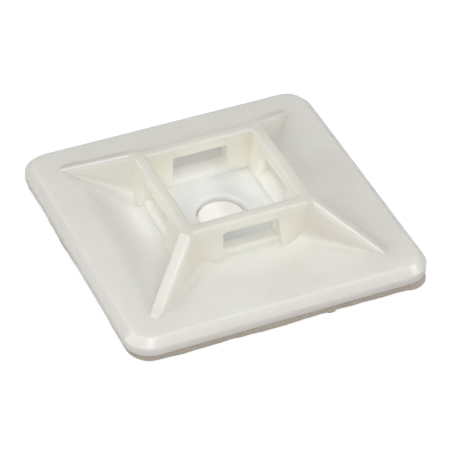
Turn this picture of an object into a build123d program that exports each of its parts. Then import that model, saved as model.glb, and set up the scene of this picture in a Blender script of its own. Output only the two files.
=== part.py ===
from build123d import *
import math
import os

# A square cable tie mount: one moulded nylon body on a self-adhesive foam pad.
# The origin is the middle of the pad's underside, +Z is up, sizes are in mm and degrees.

# Base plate
plate_width = 28.0
plate_corner_radius = 2.4
plate_thickness = 1.4
lip_height = 0.75
rim_slope_width = 0.7
rim_rounding = 0.12

# Foam pad under the plate
foam_thickness = 1.0
foam_inset = 0.3

# Raised frame: four bars round a window
frame_width = 12.24
frame_height = 3.75
frame_wall_draft = 10.0
bar_width = 1.04
bar_depth = 0.95
window_draft = 8.4
window_corner_radius = 0.3
bar_rounding = 0.2

# Slot under each bar, which the cable tie passes through
slot_width = 5.15
slot_side_draft = 4.0
slot_corner_radius = 0.2
slot_rounding = 0.15

# Curved guide in each slot, which turns the tie out of the window
guide_outer_rise = 0.85
guide_inner_rise = 0.35
guide_crown = 0.1
guide_reach = 6.3
guide_outer_rounding = 0.3
guide_inner_rounding = 0.2

# Corner ribs and the scoops between them
rib_width = 1.0
rib_foot_margin = 3.05
rib_end_width = 0.5
rib_crest_rounding = 0.22
rib_side_draft = 15.0
scoop_spread = 32.0
scoop_floor_angle = 3.5
scoop_root_radius = 1.7
wall_foot_radius = 0.8

# Screw hole with its shallow countersink
screw_hole_diameter = 4.6
countersink_diameter = 7.6
countersink_depth = 0.35
screw_hole_rounding = 0.25

# How far a cutting tool runs past the face that it opens
overrun = 1.0

plate_bottom = foam_thickness
plate_top = plate_bottom + plate_thickness
frame_top = plate_top + frame_height
slot_top = frame_top - bar_depth
plate_half = plate_width / 2
frame_half = frame_width / 2
window_half = frame_half - bar_width
frame_foot_half = frame_half + frame_height * math.tan(math.radians(frame_wall_draft))
window_foot_half = window_half - frame_height * math.tan(math.radians(window_draft))
slot_foot_half = slot_width / 2 + (slot_top - plate_top) * math.tan(math.radians(slot_side_draft))
rib_foot_half = plate_half - rib_foot_margin
crest_run = (rib_foot_half - frame_half) * math.sqrt(2)
crest_slope = frame_height / crest_run
side_angles = (0, 90, 180, 270)


def square(width, height, corner_radius=0.0):
    """A square face at a height, with rounded corners where a radius is given."""
    if corner_radius > 0:
        outline = RectangleRounded(width, width, corner_radius)
    else:
        outline = Rectangle(width, width)
    return Pos(0, 0, height) * outline


def on_four_sides(solid):
    """The front side's solid, repeated on all four sides."""
    return [Rot(0, 0, angle) * solid for angle in side_angles]


def base_plate():
    """The plate: an upright lip, then a sloping rim up to the flat top."""
    lip_top = plate_bottom + lip_height
    lip = extrude(square(plate_width, plate_bottom, plate_corner_radius), lip_height)
    rim_height = plate_top - lip_top
    rim_lean = math.degrees(math.atan2(rim_slope_width, rim_height))
    rim = extrude(square(plate_width, lip_top, plate_corner_radius), rim_height, taper=rim_lean)
    plate = lip + rim
    ridges = plate.edges().filter_by(lambda edge: edge.center().Z > lip_top - 1e-3)
    ring = ridges.filter_by(lambda edge: abs(edge.bounding_box().size.Z) < 1e-6)
    return fillet(ring, rim_rounding)


def is_slot_mouth(edge):
    """Whether an edge of the frame runs round the outer mouth of a slot."""
    middle = edge.center()
    across, outward = sorted((abs(middle.X), abs(middle.Y)))
    beside = across < slot_foot_half + 1e-3
    above_foot = plate_top + 1e-3 < middle.Z < slot_top + 1e-3
    return beside and above_foot and outward > frame_half - bar_width / 4


def frame_block():
    """The frame: drafted walls round a window down to the plate's top, with a slot through each."""
    block = extrude(square(2 * frame_foot_half, plate_top), frame_height, taper=frame_wall_draft)
    block = fillet(block.faces().sort_by(Axis.Z)[-1].edges(), bar_rounding)
    window = extrude(square(2 * window_foot_half, plate_top), frame_height, taper=-window_draft)
    corners = window.edges().filter_by(lambda edge: edge.bounding_box().size.Z > frame_height / 2)
    window = fillet(corners, window_corner_radius)
    block -= window
    rims = block.edges().filter_by_position(Axis.Z, frame_top - 1e-4, frame_top + 1e-4)
    window_rim = rims.filter_by(
        lambda edge: max(abs(edge.center().X), abs(edge.center().Y)) < window_half + 1e-3
    )
    block = fillet(window_rim, bar_rounding)
    block -= on_four_sides(slot_tool())
    return fillet(block.edges().filter_by(is_slot_mouth), slot_rounding)


def corner_rib():
    """One rib's bar on the +X, +Y diagonal: its round-topped crest falls straight to the foot."""
    foot_reach = rib_foot_half * math.sqrt(2)
    start_reach = frame_half * math.sqrt(2) - rib_end_width
    uphill = Vector(-crest_run, 0, frame_height).normalized()
    bar_height = 2 * frame_height
    bar_length = 3 * crest_run
    section = Rectangle(rib_width, bar_height, align=(Align.CENTER, Align.MAX))
    section = fillet(section.vertices().group_by(Axis.Y)[-1], rib_crest_rounding)
    start = Vector(foot_reach, 0, plate_top) - uphill * frame_height
    bar = extrude(Plane(origin=start, x_dir=(0, 1, 0), z_dir=-uphill) * section, -bar_length)
    room = Pos(start_reach, 0, plate_top) * Box(
        foot_reach - start_reach,
        rib_width,
        frame_height,
        align=(Align.MIN, Align.CENTER, Align.MIN),
    )
    return Rot(0, 0, 45) * (bar & room)


def scoop_wall():
    """The left side of the front right rib: a cone that opens from its foot to the middle.

    Its section is steep beside the rib, round at the root and nearly flat out to the crease.
    """
    apex_shift = rib_crest_rounding / crest_slope
    reach = rib_foot_half * math.sqrt(2) - apex_shift
    height = reach * crest_slope
    spread = reach * math.tan(math.radians(scoop_spread))
    side_lean = math.tan(math.radians(rib_side_draft))
    floor_rise = math.tan(math.radians(scoop_floor_angle))
    root_height = floor_rise * (spread - side_lean * height) / (1 - side_lean * floor_rise)
    root_offset = (height - root_height) * side_lean
    half_turn = math.radians(90 - rib_side_draft - scoop_floor_angle) / 2
    widest_radius = (spread - root_offset) / math.tan(half_turn)
    root_radius = min(scoop_root_radius * reach / crest_run, widest_radius / 2)
    hollow_side = FilletPolyline(
        (spread, 0), (root_offset, root_height), (0, height), radius=root_radius
    )
    inward = Vector(-1, 1, 0).normalized()
    sideways = Vector(-1, -1, 0).normalized()
    foot = Vector(rib_foot_half, -rib_foot_half, plate_top)
    apex = foot + sideways * (rib_width / 2) + inward * apex_shift
    section_plane = Plane(origin=apex + inward * reach, x_dir=sideways, z_dir=inward)
    section = section_plane * make_face([hollow_side, Polyline((0, height), (0, 0), (spread, 0))])
    cone = loft([section, Vertex(*apex)], ruled=True)
    room = Box(
        plate_half,
        plate_half - (frame_half - bar_width / 2),
        frame_height,
        align=(Align.MIN, Align.MIN, Align.MIN),
    )
    return cone & Pos(0, -plate_half, plate_top) * room


def wall_foot():
    """The hollow round between the frame's front wall and the plate, right of the slot."""
    lean = math.radians(frame_wall_draft)
    toe_offset = wall_foot_radius * math.tan((math.pi / 2 - lean) / 2)
    toe = (-frame_foot_half - toe_offset, plate_top)
    touch = (
        -frame_foot_half + toe_offset * math.sin(lean),
        plate_top + toe_offset * math.cos(lean),
    )
    inside = (-frame_foot_half + toe_offset, plate_top)
    inside_top = (-frame_foot_half + toe_offset, touch[1])
    section_lines = [
        TangentArc(toe, touch, tangent=(1, 0)),
        Polyline(touch, inside_top, inside, toe),
    ]
    start = slot_foot_half + slot_rounding
    return extrude(Plane.YZ.offset(start) * make_face(section_lines), frame_half - start)


def slot_tool():
    """What the front slot takes away under its bar, a little wider at its foot."""
    front_view = Polyline(
        (-slot_width / 2, slot_top),
        (slot_width / 2, slot_top),
        (slot_foot_half, plate_top),
        (-slot_foot_half, plate_top),
        close=True,
    )
    section = make_face(front_view)
    section = fillet(section.vertices().group_by(Axis.Y)[-1], slot_corner_radius)
    facing = Plane(origin=(0, -plate_half, 0), x_dir=(1, 0, 0), z_dir=(0, -1, 0))
    return extrude(facing * section, -(plate_half - window_foot_half + overrun))


def tie_guide():
    """The front guide: a low crowned step across the slot, with rounded edges."""
    inner = -window_foot_half
    outer = -guide_reach
    middle_rise = (guide_outer_rise + guide_inner_rise) / 2 + guide_crown
    section_lines = [
        Polyline(
            (inner, plate_top + guide_inner_rise),
            (inner, plate_top),
            (outer, plate_top),
            (outer, plate_top + guide_outer_rise),
        ),
        ThreePointArc(
            (outer, plate_top + guide_outer_rise),
            ((inner + outer) / 2, plate_top + middle_rise),
            (inner, plate_top + guide_inner_rise),
        ),
    ]
    section = make_face(section_lines)
    outer_edge, inner_edge = section.vertices().sort_by(Axis.Y)[2:].sort_by(Axis.X)
    section = fillet(outer_edge, guide_outer_rounding)
    inner_edge = section.vertices().sort_by_distance(inner_edge)[0]
    section = fillet(inner_edge, guide_inner_rounding)
    return extrude(Plane.YZ * section, slot_foot_half, both=True)


def screw_hole_tool():
    """The through hole, its rounded mouth and its shallow countersink, turned about the middle."""
    seat = plate_top - countersink_depth
    outline = Polyline(
        (0, plate_bottom),
        (screw_hole_diameter / 2, plate_bottom),
        (screw_hole_diameter / 2, seat),
        (countersink_diameter / 2, plate_top),
        (0, plate_top),
        close=True,
    )
    section = make_face(outline)
    mouth = section.vertices().sort_by_distance((screw_hole_diameter / 2, seat, 0))[0]
    return revolve(Plane.XZ * fillet(mouth, screw_hole_rounding), Axis.Z)


def mount_body():
    """The whole moulding, as one solid."""
    scoop = scoop_wall()
    foot = wall_foot()
    body = base_plate() + frame_block()
    body += on_four_sides(corner_rib())
    for hollow in (scoop, mirror(scoop, Plane.YZ), foot, mirror(foot, Plane.YZ)):
        body += on_four_sides(hollow)
    body += on_four_sides(tie_guide())
    body -= screw_hole_tool()
    return body


def foam_pad():
    """The pad: flat foam with the plate's outline, cut a little smaller."""
    pad_width = plate_width - 2 * foam_inset
    return extrude(square(pad_width, 0, plate_corner_radius - foam_inset), foam_thickness)


os.makedirs("parts", exist_ok=True)
for name, shape in {"mount_body": mount_body(), "foam_pad": foam_pad()}.items():
    shape.label = name
    export_step(shape, f"parts/{name}.step")
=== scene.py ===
import math
import bpy
import bmesh
from mathutils import Matrix, Vector, noise


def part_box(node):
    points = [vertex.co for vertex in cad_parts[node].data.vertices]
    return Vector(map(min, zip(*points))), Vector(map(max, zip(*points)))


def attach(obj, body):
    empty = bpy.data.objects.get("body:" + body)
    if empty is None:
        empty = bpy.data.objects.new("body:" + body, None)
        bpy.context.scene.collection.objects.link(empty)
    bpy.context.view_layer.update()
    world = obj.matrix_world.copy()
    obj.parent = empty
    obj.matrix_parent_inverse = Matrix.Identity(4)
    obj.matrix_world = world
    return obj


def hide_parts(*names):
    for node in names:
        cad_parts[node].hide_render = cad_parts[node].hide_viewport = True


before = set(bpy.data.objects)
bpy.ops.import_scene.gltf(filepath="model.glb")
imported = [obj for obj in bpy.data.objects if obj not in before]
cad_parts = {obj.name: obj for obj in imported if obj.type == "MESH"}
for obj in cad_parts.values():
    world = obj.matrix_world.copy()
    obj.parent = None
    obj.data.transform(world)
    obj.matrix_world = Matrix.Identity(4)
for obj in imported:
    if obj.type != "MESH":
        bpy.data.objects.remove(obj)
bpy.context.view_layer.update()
mm = 0.001  # the scene is in metres
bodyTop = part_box("mount_body")[1] / mm  # highest corners at rest, in mm
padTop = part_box("foam_pad")[1] / mm
print("frame loaded:", sorted(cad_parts))


# Colours and nodes

mixA, mixB, mixResult = 6, 7, 2  # a Mix node's colour sockets, whose names its other kinds share


def linear(hexColour):
    # sRGB hex to the linear colour that shaders take
    channels = [int(hexColour[i:i + 2], 16) / 255 for i in (1, 3, 5)]
    return [c / 12.92 if c <= 0.04045 else ((c + 0.055) / 1.055) ** 2.4 for c in channels] + [1.0]


def addNode(tree, kind, settings=None, links=None):
    # one node; settings go to its properties or inputs, links join other nodes' outputs to its inputs
    node = tree.nodes.new(kind)
    for name, value in (settings or {}).items():
        if isinstance(name, int) or name in node.inputs:
            node.inputs[name].default_value = value
        else:
            setattr(node, name, value)
    for name, output in (links or {}).items():
        tree.links.new(output, node.inputs[name])
    return node


def newMaterial(name):
    material = bpy.data.materials.new(name)
    material.use_nodes = True
    material.node_tree.nodes.clear()
    return material, material.node_tree


# Nylon body

nylon = {
    "colour": "#E9E8DF",        # natural nylon, milky with a little warmth
    "cloudColour": "#E4DFD6",   # where the melt flowed thicker
    "cloudSize": 7.0,           # mm, slow clouding inside the moulding
    "mottleSize": 0.9,          # mm
    "mottleShare": 0.25,        # how much the mottle adds to the clouding
    "cloudFrom": 0.4,           # clouding at which the second colour starts
    "cloudTo": 0.85,            # clouding at which it is full
    "raisedPaintedShade": "#D9D6CD",  # painted shade, greyer higher up on the bars and walls, with nothing white behind them
    "plateThickness": 1.4,      # mm, through which the white foam shines
    "thinPaintedGlow": "#FFFCEF",    # painted glow round the hole, where the nylon is thinnest over the foam
    "thinRadius": 5.0,          # mm from the middle
    "thinEnd": 10.0,            # mm from the middle
    "rimPaintedShade": "#E0DDD5",     # painted shade outside the foam's edge
    "lipFootPaintedShade": "#D3CAC1",     # painted shade at the foot of the upright lip, darker and warmer towards the foam below it
    "lipHeight": 0.75,          # mm
    "cornerRadius": 2.4,        # mm, plan view of the plate's corners
    "rimStart": 1.65,           # mm out from the middle of each corner's round
    "rimBlend": 0.15,           # mm
    "crestPaintedShade": "#D8D4CC",   # painted shade along the ribs' crests, the least backed of all
    "crestHalf": 0.36,          # mm each side of the diagonal
    "crestPaintedHighlight": "#F0EEE6",    # painted highlight on the crests' round edges
    "highlightHalf": 0.55,           # mm each side of the diagonal
    "crestBlend": 0.05,         # mm each side of a border between these tints
    "crestStart": 8.6,          # mm from the middle, where the ribs leave the frame
    "crestStartBlend": 0.15,    # mm
    "crestFoot": 0.02,          # mm above the plate
    "crestFootBlend": 0.18,     # mm
    "grainSize": 0.16,          # mm, spark-eroded mould grain; coarser than real so that it shows
    "grainDepth": 0.004,        # mm
    "roughness": 0.34,
    "glossDip": 0.05,           # smoother than that in the mottle's dark spots
    "glossRise": 0.06,          # rougher than that in its light ones
    "ior": 1.53,
    "specular": 0.65,
    "scatterDepth": 3.0,        # mm that light travels inside
    "scatterColour": (1.0, 0.96, 0.86),
}


def cloudedTint(tree, place, mottle):
    # the milky body, a little warmer where the melt flowed thicker
    clouds = addNode(tree, "ShaderNodeTexNoise",
                     {"Scale": 1 / (nylon["cloudSize"] * mm), "Detail": 3.0, "Roughness": 0.5},
                     {"Vector": place})
    both = addNode(tree, "ShaderNodeMath", {"operation": "MULTIPLY_ADD", 1: nylon["mottleShare"]},
                   {0: mottle, 2: clouds.outputs["Fac"]})
    share = addNode(tree, "ShaderNodeMapRange",
                    {"From Min": nylon["cloudFrom"], "From Max": nylon["cloudTo"]},
                    {"Value": both.outputs[0]})
    tint = addNode(tree, "ShaderNodeMix",
                   {"data_type": "RGBA", mixA: linear(nylon["colour"]), mixB: linear(nylon["cloudColour"])},
                   {0: share.outputs[0]})
    return tint.outputs[mixResult]


def paintedShadeAndGlowTint(tree, height, radius, tint):
    # painted shade, greyer where the walls stand clear of the foam, and painted glow, whiter where the plate
    # is thin over it
    raised = addNode(tree, "ShaderNodeMapRange",
                     {"From Min": (padTop.z + nylon["plateThickness"]) * mm, "From Max": bodyTop.z * mm},
                     {"Value": height})
    # painted shade: greyer with height above the plate
    raisedShadeTint = addNode(tree, "ShaderNodeMix", {"data_type": "RGBA", mixB: linear(nylon["raisedPaintedShade"])},
                       {0: raised.outputs[0], mixA: tint})
    thin = addNode(tree, "ShaderNodeMapRange",
                   {"interpolation_type": "SMOOTHSTEP", "From Min": nylon["thinEnd"] * mm,
                    "From Max": nylon["thinRadius"] * mm}, {"Value": radius})
    backed = addNode(tree, "ShaderNodeMath", {"operation": "SUBTRACT", 0: 1.0}, {1: raised.outputs[0]})
    lit = addNode(tree, "ShaderNodeMath", {"operation": "MULTIPLY"},
                  {0: thin.outputs[0], 1: backed.outputs[0]})
    # painted glow: whiter near the hole, low down
    paintedGlowTint = addNode(tree, "ShaderNodeMix", {"data_type": "RGBA", mixB: linear(nylon["thinPaintedGlow"])},
                      {0: lit.outputs[0], mixA: raisedShadeTint.outputs[mixResult]})
    return paintedGlowTint.outputs[mixResult]


def rimAndLipShadeTint(tree, height, quarter, tint):
    # painted shade on the sloping rim and the upright lip, past the foam's edge; quarter is the place with
    # its signs dropped
    corner = (bodyTop.x - nylon["cornerRadius"]) * mm
    aboveAll = 1.0  # m, so that height counts for nothing
    beyond = addNode(tree, "ShaderNodeVectorMath",
                     {"operation": "SUBTRACT", 1: (corner, corner, aboveAll)}, {0: quarter})
    outside = addNode(tree, "ShaderNodeVectorMath", {"operation": "MAXIMUM", 1: (0.0, 0.0, 0.0)},
                      {0: beyond.outputs[0]})
    fromCorner = addNode(tree, "ShaderNodeVectorMath", {"operation": "LENGTH"}, {0: outside.outputs[0]})
    rim = addNode(tree, "ShaderNodeMapRange",
                  {"From Min": nylon["rimStart"] * mm,
                   "From Max": (nylon["rimStart"] + nylon["rimBlend"]) * mm},
                  {"Value": fromCorner.outputs["Value"]})
    lipShare = addNode(tree, "ShaderNodeMapRange",
                       {"From Min": (padTop.z + nylon["lipHeight"]) * mm, "From Max": padTop.z * mm},
                       {"Value": height})
    # painted shade: the rim greyer, the lip darker and warmer towards its foot
    edge = addNode(tree, "ShaderNodeMix",
                   {"data_type": "RGBA", mixA: linear(nylon["rimPaintedShade"]), mixB: linear(nylon["lipFootPaintedShade"])},
                   {0: lipShare.outputs[0]})
    rimmed = addNode(tree, "ShaderNodeMix", {"data_type": "RGBA"},
                     {0: rim.outputs[0], mixA: tint, mixB: edge.outputs[mixResult]})
    return rimmed.outputs[mixResult]


def crestShadeAndHighlightTint(tree, height, radius, quarter, tint):
    # painted shade on the four ribs' crests and painted highlight on their round edges, along the diagonals
    sides = addNode(tree, "ShaderNodeSeparateXYZ", links={0: quarter}).outputs
    aside = addNode(tree, "ShaderNodeMath", {"operation": "SUBTRACT"}, {0: sides["X"], 1: sides["Y"]})
    fromDiagonal = addNode(tree, "ShaderNodeMath", {"operation": "ABSOLUTE"}, {0: aside.outputs[0]})
    footFrom = padTop.z + nylon["plateThickness"] + nylon["crestFoot"]
    abovePlate = addNode(tree, "ShaderNodeMapRange",
                         {"From Min": footFrom * mm, "From Max": (footFrom + nylon["crestFootBlend"]) * mm},
                         {"Value": height})
    onRib = addNode(tree, "ShaderNodeMapRange",
                    {"From Min": nylon["crestStart"] * mm,
                     "From Max": (nylon["crestStart"] + nylon["crestStartBlend"]) * mm}, {"Value": radius})
    ribPlace = addNode(tree, "ShaderNodeMath", {"operation": "MULTIPLY"},
                       {0: onRib.outputs[0], 1: abovePlate.outputs[0]})
    slant = math.sqrt(2) * mm  # X and Y differ by this for each mm aside from the diagonal
    # painted highlight on the crests' round edges, then painted shade on the crests themselves
    for colour, half in (("crestPaintedHighlight", "highlightHalf"), ("crestPaintedShade", "crestHalf")):
        row = addNode(tree, "ShaderNodeMapRange",
                      {"From Min": (nylon[half] + nylon["crestBlend"]) * slant,
                       "From Max": (nylon[half] - nylon["crestBlend"]) * slant},
                      {"Value": fromDiagonal.outputs[0]})
        share = addNode(tree, "ShaderNodeMath", {"operation": "MULTIPLY"},
                        {0: row.outputs[0], 1: ribPlace.outputs[0]})
        mixed = addNode(tree, "ShaderNodeMix", {"data_type": "RGBA", mixB: linear(nylon[colour])},
                        {0: share.outputs[0], mixA: tint})
        tint = mixed.outputs[mixResult]
    return tint


def naturalNylon():
    # natural nylon, injection moulded: satin skin over a milky body that light soaks into
    material, tree = newMaterial("naturalNylon")
    place = addNode(tree, "ShaderNodeTexCoord").outputs["Object"]
    height = addNode(tree, "ShaderNodeSeparateXYZ", links={0: place}).outputs["Z"]
    level = addNode(tree, "ShaderNodeVectorMath", {"operation": "MULTIPLY", 1: (1.0, 1.0, 0.0)}, {0: place})
    length = addNode(tree, "ShaderNodeVectorMath", {"operation": "LENGTH"}, {0: level.outputs[0]})
    radius = length.outputs["Value"]
    quarter = addNode(tree, "ShaderNodeVectorMath", {"operation": "ABSOLUTE"}, {0: place}).outputs[0]
    mottle = addNode(tree, "ShaderNodeTexNoise",
                     {"Scale": 1 / (nylon["mottleSize"] * mm), "Detail": 2.0, "Roughness": 0.6},
                     {"Vector": place}).outputs["Fac"]
    tint = cloudedTint(tree, place, mottle)
    # painted shade up the walls and painted glow round the hole
    tint = paintedShadeAndGlowTint(tree, height, radius, tint)
    # painted shade on the rim and the lip's foot
    tint = rimAndLipShadeTint(tree, height, quarter, tint)
    # painted shade on the crests and painted highlight on their edges
    tint = crestShadeAndHighlightTint(tree, height, radius, quarter, tint)
    gloss = addNode(tree, "ShaderNodeMapRange",
                    {"To Min": nylon["roughness"] - nylon["glossDip"],
                     "To Max": nylon["roughness"] + nylon["glossRise"]}, {"Value": mottle})
    grain = addNode(tree, "ShaderNodeTexNoise",
                    {"Scale": 1 / (nylon["grainSize"] * mm), "Detail": 2.0}, {"Vector": place})
    bump = addNode(tree, "ShaderNodeBump", {"Strength": 1.0, "Distance": nylon["grainDepth"] * mm},
                   {"Height": grain.outputs["Fac"]})
    skin = addNode(tree, "ShaderNodeBsdfPrincipled",
                   {"IOR": nylon["ior"], "Specular IOR Level": nylon["specular"], "Subsurface Weight": 1.0,
                    "Subsurface Radius": nylon["scatterColour"],
                    "Subsurface Scale": nylon["scatterDepth"] * mm},
                   {"Base Color": tint, "Roughness": gloss.outputs[0], "Normal": bump.outputs[0]})
    addNode(tree, "ShaderNodeOutputMaterial", links={"Surface": skin.outputs[0]})
    return material


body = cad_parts["mount_body"]
body.data.materials.clear()
body.data.materials.append(naturalNylon())
print("nylon body dressed")


# Foam pad

foam = {
    "colour": "#BFB6AA",        # cut edge, where open cells trap light
    "pitPaintedShade": "#B4AA9C",     # painted shade at the bottom of the cut cells
    "pitReach": 1.1,            # cell widths from a cell's middle to where its colour ends
    "pitFrom": 0.15,            # depth at which the pit's colour starts
    "pitTo": 0.5,               # depth at which it is full
    "roughness": 0.9,
    "ior": 1.4,
    "scatterShare": 0.5,
    "scatterDepth": 0.4,        # mm
    "scatterColour": (1.0, 0.9, 0.75),
    "cellSize": 0.24,           # mm across a cell
    "cellDepth": 0.02,          # mm
    "lumpSize": 0.8,            # mm, foam that sprang back after the cut
    "lumpDepth": 0.05,          # mm
    "cornerRadius": 2.1,        # mm
    "step": 0.06,               # mm between points along the cut edge
    "layers": 18,               # rows of faces up the cut edge
    "wave": 0.18,               # mm that the cut wanders at the foot, and less above
    "waveMiddle": 0.5,          # noise at which the cut lies on the outline
    "waveLength": 5.5,          # mm
    "nick": 0.07,               # mm, small tears along the foot
    "nickLength": 1.1,          # mm
    "topHold": 0.8,             # share of both that the plate's adhesive holds back at the top
    "cornerPush": 0.4,          # mm that the front right corner stands out at the foot, cut less round
    "bulge": 0.14,              # mm that the squeezed edge swells out
    "bulgeSquare": 4,           # power of its profile, flatter in the middle the higher it is
    "tabPlace": 4.35,           # mm right of the middle of the front edge
    "tabWidth": 0.85,           # mm
    "tabReach": 0.16,           # mm
    "tabSquare": 4,             # power of its outline
    "tabFade": 2.5,             # it thins out over one part in this many of the height
    "swellRadius": 2.28,        # mm, the round of foam that shows in the screw hole
    "swell": 0.78,              # mm that it rises there
    "swellSquare": 16,          # power of its profile
    "swellRings": 16,
    "swellSides": 96,
    "glueLine": 0.012,          # mm between the foam and the plate
    "flatFrom": 0.9,            # upright part of a normal from which a facet counts as flat
    "seed": 7.3,
}

adhesive = {
    "colour": "#FAF9F5",
    "streakSize": 1.8,          # mm, coating marks
    "rippleDepth": 0.004,       # mm
    "roughness": 0.32,
    "glossSpread": 0.15,        # rougher than that on the marks
    "ior": 1.47,
}


def cutFoam():
    # closed-cell polyethylene foam, die cut: matt, warm grey where the cells lie open, with painted shade in
    # the cells' hollows
    material, tree = newMaterial("cutFoam")
    place = addNode(tree, "ShaderNodeTexCoord").outputs["Object"]
    cells = addNode(tree, "ShaderNodeTexVoronoi",
                    {"voronoi_dimensions": "4D", "Scale": 1 / (foam["cellSize"] * mm), "W": foam["seed"]},
                    {"Vector": place})
    blotch = addNode(tree, "ShaderNodeTexNoise",
                     {"Scale": 1 / (foam["lumpSize"] * mm), "Detail": 3.0}, {"Vector": place})
    pit = addNode(tree, "ShaderNodeMath", {"operation": "SUBTRACT", 0: foam["pitReach"]},
                  {1: cells.outputs["Distance"]})
    depth = addNode(tree, "ShaderNodeMath", {"operation": "MULTIPLY"},
                    {0: pit.outputs[0], 1: blotch.outputs["Fac"]})
    share = addNode(tree, "ShaderNodeMapRange",
                    {"From Min": foam["pitFrom"], "From Max": foam["pitTo"]}, {"Value": depth.outputs[0]})
    # painted shade in the hollows of the cut cells
    tint = addNode(tree, "ShaderNodeMix",
                   {"data_type": "RGBA", mixA: linear(foam["colour"]), mixB: linear(foam["pitPaintedShade"])},
                   {0: share.outputs[0]})
    skin = addNode(tree, "ShaderNodeBsdfPrincipled",
                   {"Roughness": foam["roughness"], "IOR": foam["ior"],
                    "Subsurface Weight": foam["scatterShare"], "Subsurface Radius": foam["scatterColour"],
                    "Subsurface Scale": foam["scatterDepth"] * mm},
                   {"Base Color": tint.outputs[mixResult]})
    addNode(tree, "ShaderNodeOutputMaterial", links={"Surface": skin.outputs[0]})
    return material


def acrylicAdhesive():
    # clear acrylic adhesive coated on the foam's skin: white with a faint uneven gloss
    material, tree = newMaterial("acrylicAdhesive")
    place = addNode(tree, "ShaderNodeTexCoord").outputs["Object"]
    ripple = addNode(tree, "ShaderNodeTexNoise",
                     {"Scale": 1 / (adhesive["streakSize"] * mm), "Detail": 4.0}, {"Vector": place})
    bump = addNode(tree, "ShaderNodeBump", {"Strength": 1.0, "Distance": adhesive["rippleDepth"] * mm},
                   {"Height": ripple.outputs["Fac"]})
    gloss = addNode(tree, "ShaderNodeMapRange",
                    {"To Min": adhesive["roughness"],
                     "To Max": adhesive["roughness"] + adhesive["glossSpread"]},
                    {"Value": ripple.outputs["Fac"]})
    skin = addNode(tree, "ShaderNodeBsdfPrincipled",
                   {"Base Color": linear(adhesive["colour"]), "IOR": adhesive["ior"]},
                   {"Roughness": gloss.outputs[0], "Normal": bump.outputs[0]})
    addNode(tree, "ShaderNodeOutputMaterial", links={"Surface": skin.outputs[0]})
    return material


def outlinePoint(half, radius, travel):
    # a point and outward direction on a rounded square, travel mm along it from its front edge's middle
    straight = 2 * (half - radius)
    arc = math.pi / 2 * radius
    along = travel + straight / 2
    side = int(along // (straight + arc))
    rest = along - side * (straight + arc)
    if rest < straight:
        point, outward = Vector((rest - straight / 2, -half, 0)), Vector((0, -1, 0))
    else:
        angle = (rest - straight) / radius
        outward = Vector((math.sin(angle), -math.cos(angle), 0))
        point = Vector((straight / 2, -straight / 2, 0)) + outward * radius
    turn = Matrix.Rotation(side * math.pi / 2, 3, "Z")
    return turn @ point, turn @ outward


def cutInset(point, outward, travel, rise):
    # mm that the cut lies inside the plain outline; rise goes from 0 at the foot to 1 at the top
    wander = noise.noise(point / foam["waveLength"] + Vector((foam["seed"], 0, 0)))
    nick = noise.noise(point / foam["nickLength"] + Vector((0, foam["seed"], 0)))
    loose = 1 - foam["topHold"] * rise
    inset = loose * max(0.0, foam["wave"] * (foam["waveMiddle"] - wander) + foam["nick"] * nick)
    inset -= foam["bulge"] * (1 - (2 * rise - 1) ** foam["bulgeSquare"])
    cornerWay = Vector((1, -1, 0)).normalized()
    sideShare = math.sqrt(0.5)  # how far a straight side already faces that way
    toCorner = max(0.0, outward.dot(cornerWay) - sideShare) / (1 - sideShare)
    inset -= foam["cornerPush"] * (1 - rise) * toCorner
    beside = abs((travel - foam["tabPlace"]) / (foam["tabWidth"] / 2))
    tabOutline = max(0.0, 1 - beside ** foam["tabSquare"])
    inset -= foam["tabReach"] * tabOutline * max(0.0, 1 - rise * foam["tabFade"])
    return inset


def addSwelling(mesh, height):
    # the soft foam that rises a little into the screw hole; returns its outer ring of points
    sides = foam["swellSides"]
    turns = [2 * math.pi * i / sides for i in range(sides)]
    rings = []
    for layer in range(foam["swellRings"]):
        share = 1 - layer / foam["swellRings"]
        radius = foam["swellRadius"] * share
        rise = height + foam["swell"] * (1 - share ** foam["swellSquare"])
        rings.append([mesh.verts.new(Vector((math.cos(a) * radius, math.sin(a) * radius, rise)) * mm)
                      for a in turns])
    middle = mesh.verts.new(Vector((0, 0, height + foam["swell"])) * mm)
    for outer, inner in zip(rings, rings[1:]):
        for i in range(sides):
            mesh.faces.new((outer[i - 1], outer[i], inner[i], inner[i - 1]))
    for i in range(sides):
        mesh.faces.new((rings[-1][i - 1], rings[-1][i], middle))
    return rings[0]


def padBlank():
    # the pad as cut: a wandering edge in rings of points, closed above and below
    half = padTop.x
    height = padTop.z - foam["glueLine"]
    radius = foam["cornerRadius"]
    perimeter = 8 * (half - radius) + 2 * math.pi * radius
    count = round(perimeter / foam["step"])
    mesh = bmesh.new()
    rings = []
    for layer in range(foam["layers"] + 1):
        rise = layer / foam["layers"]
        ring = []
        for i in range(count):
            travel = i / count * perimeter
            point, outward = outlinePoint(half, radius, travel)
            spot = point + Vector((0, 0, rise * height)) - outward * cutInset(point, outward, travel, rise)
            ring.append(mesh.verts.new(spot * mm))
        rings.append(ring)
    for below, above in zip(rings, rings[1:]):
        for i in range(count):
            mesh.faces.new((below[i], below[(i + 1) % count], above[(i + 1) % count], above[i]))
    underside = mesh.faces.new(list(reversed(rings[0])))
    swollen = addSwelling(mesh, height)
    for face in mesh.faces:
        face.smooth = face is not underside
    topEdges = [mesh.edges.get((ring[i], ring[i - 1]))
                for ring in (rings[-1], swollen) for i in range(len(ring))]
    bmesh.ops.triangle_fill(mesh, use_beauty=True, edges=topEdges)
    bmesh.ops.recalc_face_normals(mesh, faces=mesh.faces)
    data = bpy.data.meshes.new("padBlank")
    mesh.to_mesh(data)
    mesh.free()
    blank = bpy.data.objects.new("foamCushion", data)
    bpy.context.scene.collection.objects.link(blank)
    return blank


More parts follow.
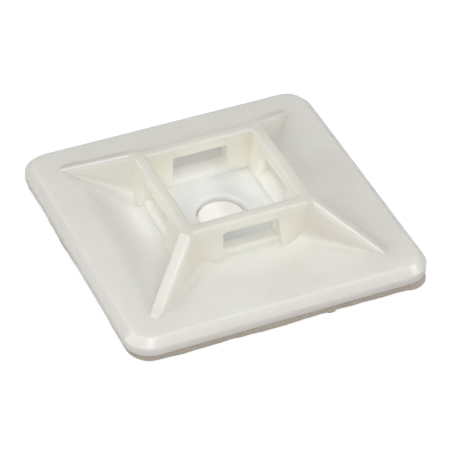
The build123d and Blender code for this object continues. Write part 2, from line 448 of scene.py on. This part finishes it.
def cutCellTree():
    # opens the foam's cells all round the cut edge and lets the foam between them spring out in soft lumps
    tree = bpy.data.node_groups.new("cutCells", "GeometryNodeTree")
    tree.interface.new_socket("Geometry", in_out="INPUT", socket_type="NodeSocketGeometry")
    for name in ("Cell Size", "Cell Depth", "Lump Size", "Lump Depth", "Edge From", "Seed"):
        tree.interface.new_socket(name, in_out="INPUT", socket_type="NodeSocketFloat")
    for name in ("Edge Material", "Face Material"):
        tree.interface.new_socket(name, in_out="INPUT", socket_type="NodeSocketMaterial")
    tree.interface.new_socket("Geometry", in_out="OUTPUT", socket_type="NodeSocketGeometry")
    given = addNode(tree, "NodeGroupInput").outputs
    place = addNode(tree, "GeometryNodeInputPosition").outputs[0]
    normal = addNode(tree, "GeometryNodeInputNormal").outputs[0]
    cellsPerMetre, lumpsPerMetre = [
        addNode(tree, "ShaderNodeMath", {"operation": "DIVIDE", 0: 1.0}, {1: given[name]}).outputs[0]
        for name in ("Cell Size", "Lump Size")]
    cells = addNode(tree, "ShaderNodeTexVoronoi", {"voronoi_dimensions": "4D"},
                    {"Vector": place, "W": given["Seed"], "Scale": cellsPerMetre})
    lumps = addNode(tree, "ShaderNodeTexNoise", {"noise_dimensions": "4D", "Detail": 2.0},
                    {"Vector": place, "W": given["Seed"], "Scale": lumpsPerMetre})
    pit = addNode(tree, "ShaderNodeMath", {"operation": "SUBTRACT", 0: 1.0, "use_clamp": True},
                  {1: cells.outputs["Distance"]})
    cellInset = addNode(tree, "ShaderNodeMath", {"operation": "MULTIPLY"},
                        {0: pit.outputs[0], 1: given["Cell Depth"]})
    inset = addNode(tree, "ShaderNodeMath", {"operation": "MULTIPLY_ADD"},
                    {0: lumps.outputs["Fac"], 1: given["Lump Depth"], 2: cellInset.outputs[0]})
    level = addNode(tree, "ShaderNodeVectorMath", {"operation": "MULTIPLY", 1: (-1.0, -1.0, 0.0)},
                    {0: normal})
    inward = addNode(tree, "ShaderNodeVectorMath", {"operation": "NORMALIZE"}, {0: level.outputs[0]})
    shift = addNode(tree, "ShaderNodeVectorMath", {"operation": "SCALE"},
                    {0: inward.outputs[0], "Scale": inset.outputs[0]})
    flat = addNode(tree, "ShaderNodeVectorMath", {"operation": "MULTIPLY", 1: (1.0, 1.0, 0.0)}, {0: place})
    radius = addNode(tree, "ShaderNodeVectorMath", {"operation": "LENGTH"}, {0: flat.outputs[0]})
    outer = addNode(tree, "FunctionNodeCompare", {"operation": "GREATER_THAN"},
                    {0: radius.outputs["Value"], 1: given["Edge From"]})
    moved = addNode(tree, "GeometryNodeSetPosition",
                    links={"Geometry": given["Geometry"], "Selection": outer.outputs[0],
                           "Offset": shift.outputs[0]})
    upright = addNode(tree, "ShaderNodeSeparateXYZ", links={0: normal}).outputs["Z"]
    steep = addNode(tree, "ShaderNodeMath", {"operation": "ABSOLUTE"}, {0: upright})
    isSide = addNode(tree, "FunctionNodeCompare", {"operation": "LESS_THAN", 1: foam["flatFrom"]},
                     {0: steep.outputs[0]})
    isFace = addNode(tree, "FunctionNodeBooleanMath", {"operation": "NAND"},
                     {0: isSide.outputs[0], 1: outer.outputs[0]})
    real = addNode(tree, "GeometryNodeRealizeInstances", links={"Geometry": moved.outputs[0]})
    edge = addNode(tree, "GeometryNodeSetMaterial",
                   links={"Geometry": real.outputs[0], "Material": given["Edge Material"]})
    faces = addNode(tree, "GeometryNodeSetMaterial",
                    links={"Geometry": edge.outputs[0], "Selection": isFace.outputs[0],
                           "Material": given["Face Material"]})
    addNode(tree, "NodeGroupOutput", links={0: faces.outputs[0]})
    return tree


def foamPad():
    pad = padBlank()
    tree = cutCellTree()
    modifier = pad.modifiers.new("cutCells", "NODES")
    modifier.node_group = tree
    values = {
        "Cell Size": foam["cellSize"] * mm,
        "Cell Depth": foam["cellDepth"] * mm,
        "Lump Size": foam["lumpSize"] * mm,
        "Lump Depth": foam["lumpDepth"] * mm,
        "Edge From": padTop.x / 2 * mm,  # half way out, well clear of the foam in the hole
        "Seed": foam["seed"],
        "Edge Material": cutFoam(),
        "Face Material": acrylicAdhesive(),
    }
    for socket in tree.interface.items_tree:
        if socket.in_out == "INPUT" and socket.name in values:
            modifier[socket.identifier] = values[socket.name]
    evaluated = pad.evaluated_get(bpy.context.evaluated_depsgraph_get())
    data = bpy.data.meshes.new_from_object(evaluated)
    pad.modifiers.clear()
    pad.data = data
    data.name = "foamCushion"
    return pad


pad = foamPad()
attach(pad, "root")
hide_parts("foam_pad")
print("foam pad cut:", len(pad.data.polygons), "faces")


# Floor, light and camera

studio = {
    "floorSize": 2.0,           # m
    "floorColour": "#E6E6E6",   # as it lights the object
    "shadeColour": "#7C7C7C",   # the part of the seen floor that the object's shadow darkens
    "floorGlow": 0.86,          # the part that it doesn't
    "skyStrength": 0.128,
    "lamps": {                  # degrees round from the front and up, m away, m across, W
        "frontKeyLight": {"azimuth": -18.0, "elevation": 52.0, "distance": 0.45, "size": 0.06, "power": 0.33},
        "rightKeyLight": {"azimuth": 60.0, "elevation": 38.0, "distance": 0.45, "size": 0.04, "power": 0.5},
        "nearLight": {"azimuth": -15.0, "elevation": 40.0, "distance": 0.13, "size": 0.08, "power": 0.029},
        "topLight": {"azimuth": 0.0, "elevation": 89.0, "distance": 0.45, "size": 0.30, "power": 0.338},
        "leftLight": {"azimuth": -110.0, "elevation": 30.0, "distance": 0.45, "size": 0.25, "power": 0.465},
        "topLeftLight": {"azimuth": -80.0, "elevation": 60.0, "distance": 0.45, "size": 0.30, "power": 0.48},
    },
}

view = {
    "azimuth": -24.09,          # degrees round from the front, towards the left
    "elevation": 39.70,
    "roll": 0.92,
    "distance": 235.35,         # mm from the middle of the pad's underside
    "aimRight": 0.39,           # mm, how far the aim lies from there in the picture
    "aimUp": 0.35,
    "lens": 212.05,             # mm
    "sensorWidth": 36.0,        # mm
    "clipStart": 0.01,          # m
    "clipEnd": 10.0,            # m
}


def paleFloor():
    # matt paper sweep: the camera sees it near white, and it keeps the object's shadow
    material, tree = newMaterial("paleFloor")
    matt = addNode(tree, "ShaderNodeBsdfDiffuse", {"Color": linear(studio["floorColour"])})
    shade = addNode(tree, "ShaderNodeBsdfDiffuse", {"Color": linear(studio["shadeColour"])})
    glow = addNode(tree, "ShaderNodeEmission", {"Color": linear("#FFFFFF"), "Strength": studio["floorGlow"]})
    seen = addNode(tree, "ShaderNodeAddShader", links={0: shade.outputs[0], 1: glow.outputs[0]})
    rays = addNode(tree, "ShaderNodeLightPath")
    mix = addNode(tree, "ShaderNodeMixShader",
                  links={0: rays.outputs["Is Camera Ray"], 1: matt.outputs[0], 2: seen.outputs[0]})
    addNode(tree, "ShaderNodeOutputMaterial", links={"Surface": mix.outputs[0]})
    return material


def directionFrom(azimuth, elevation):
    # unit vector from the object towards a place round it
    a, e = math.radians(azimuth), math.radians(elevation)
    return Vector((math.sin(a) * math.cos(e), -math.cos(a) * math.cos(e), math.sin(e)))


def addFloor():
    half = studio["floorSize"] / 2
    corners = [(-half, -half, 0), (half, -half, 0), (half, half, 0), (-half, half, 0)]
    data = bpy.data.meshes.new("floor")
    data.from_pydata(corners, [], [(0, 1, 2, 3)])
    data.materials.append(paleFloor())
    floor = bpy.data.objects.new("floor", data)
    bpy.context.scene.collection.objects.link(floor)


def addWorld():
    # a weak white sky that looks full white where it is seen directly
    world = bpy.data.worlds.new("studioSky")
    bpy.context.scene.world = world
    world.use_nodes = True
    tree = world.node_tree
    tree.nodes.clear()
    rays = addNode(tree, "ShaderNodeLightPath")
    direct = addNode(tree, "ShaderNodeMath", {"operation": "MAXIMUM"},
                     {0: rays.outputs["Is Camera Ray"], 1: rays.outputs["Is Transmission Ray"]})
    sky = addNode(tree, "ShaderNodeBackground",
                  {"Color": linear("#FFFFFF"), "Strength": studio["skyStrength"]})
    backdrop = addNode(tree, "ShaderNodeBackground", {"Color": linear("#FFFFFF"), "Strength": 1.0})
    mix = addNode(tree, "ShaderNodeMixShader",
                  links={0: direct.outputs[0], 1: sky.outputs[0], 2: backdrop.outputs[0]})
    addNode(tree, "ShaderNodeOutputWorld", links={"Surface": mix.outputs[0]})


def addLamps():
    for name, lamp in studio["lamps"].items():
        data = bpy.data.lights.new(name, "AREA")
        data.shape = "DISK"
        data.size = lamp["size"]
        data.energy = lamp["power"]
        light = bpy.data.objects.new(name, data)
        bpy.context.scene.collection.objects.link(light)
        back = directionFrom(lamp["azimuth"], lamp["elevation"])
        light.location = back * lamp["distance"]
        light.rotation_euler = (-back).to_track_quat("-Z", "Y").to_euler()


def addCamera():
    back = directionFrom(view["azimuth"], view["elevation"])
    around = math.radians(view["azimuth"])
    level = Vector((math.cos(around), math.sin(around), 0))
    upright = back.cross(level)
    roll = math.radians(view["roll"])
    right = level * math.cos(roll) + upright * math.sin(roll)
    up = upright * math.cos(roll) - level * math.sin(roll)
    place = (right * view["aimRight"] + up * view["aimUp"] + back * view["distance"]) * mm
    data = bpy.data.cameras.new("photoCamera")
    data.sensor_width = view["sensorWidth"]
    data.lens = view["lens"]
    data.clip_start = view["clipStart"]
    data.clip_end = view["clipEnd"]
    camera = bpy.data.objects.new("photoCamera", data)
    camera.matrix_world = Matrix.Translation(place) @ Matrix((right, up, back)).transposed().to_4x4()
    bpy.context.scene.collection.objects.link(camera)
    bpy.context.scene.camera = camera


addFloor()
addWorld()
addLamps()
addCamera()
bpy.context.scene.view_settings.view_transform = "Standard"
print("stage, light and camera set")
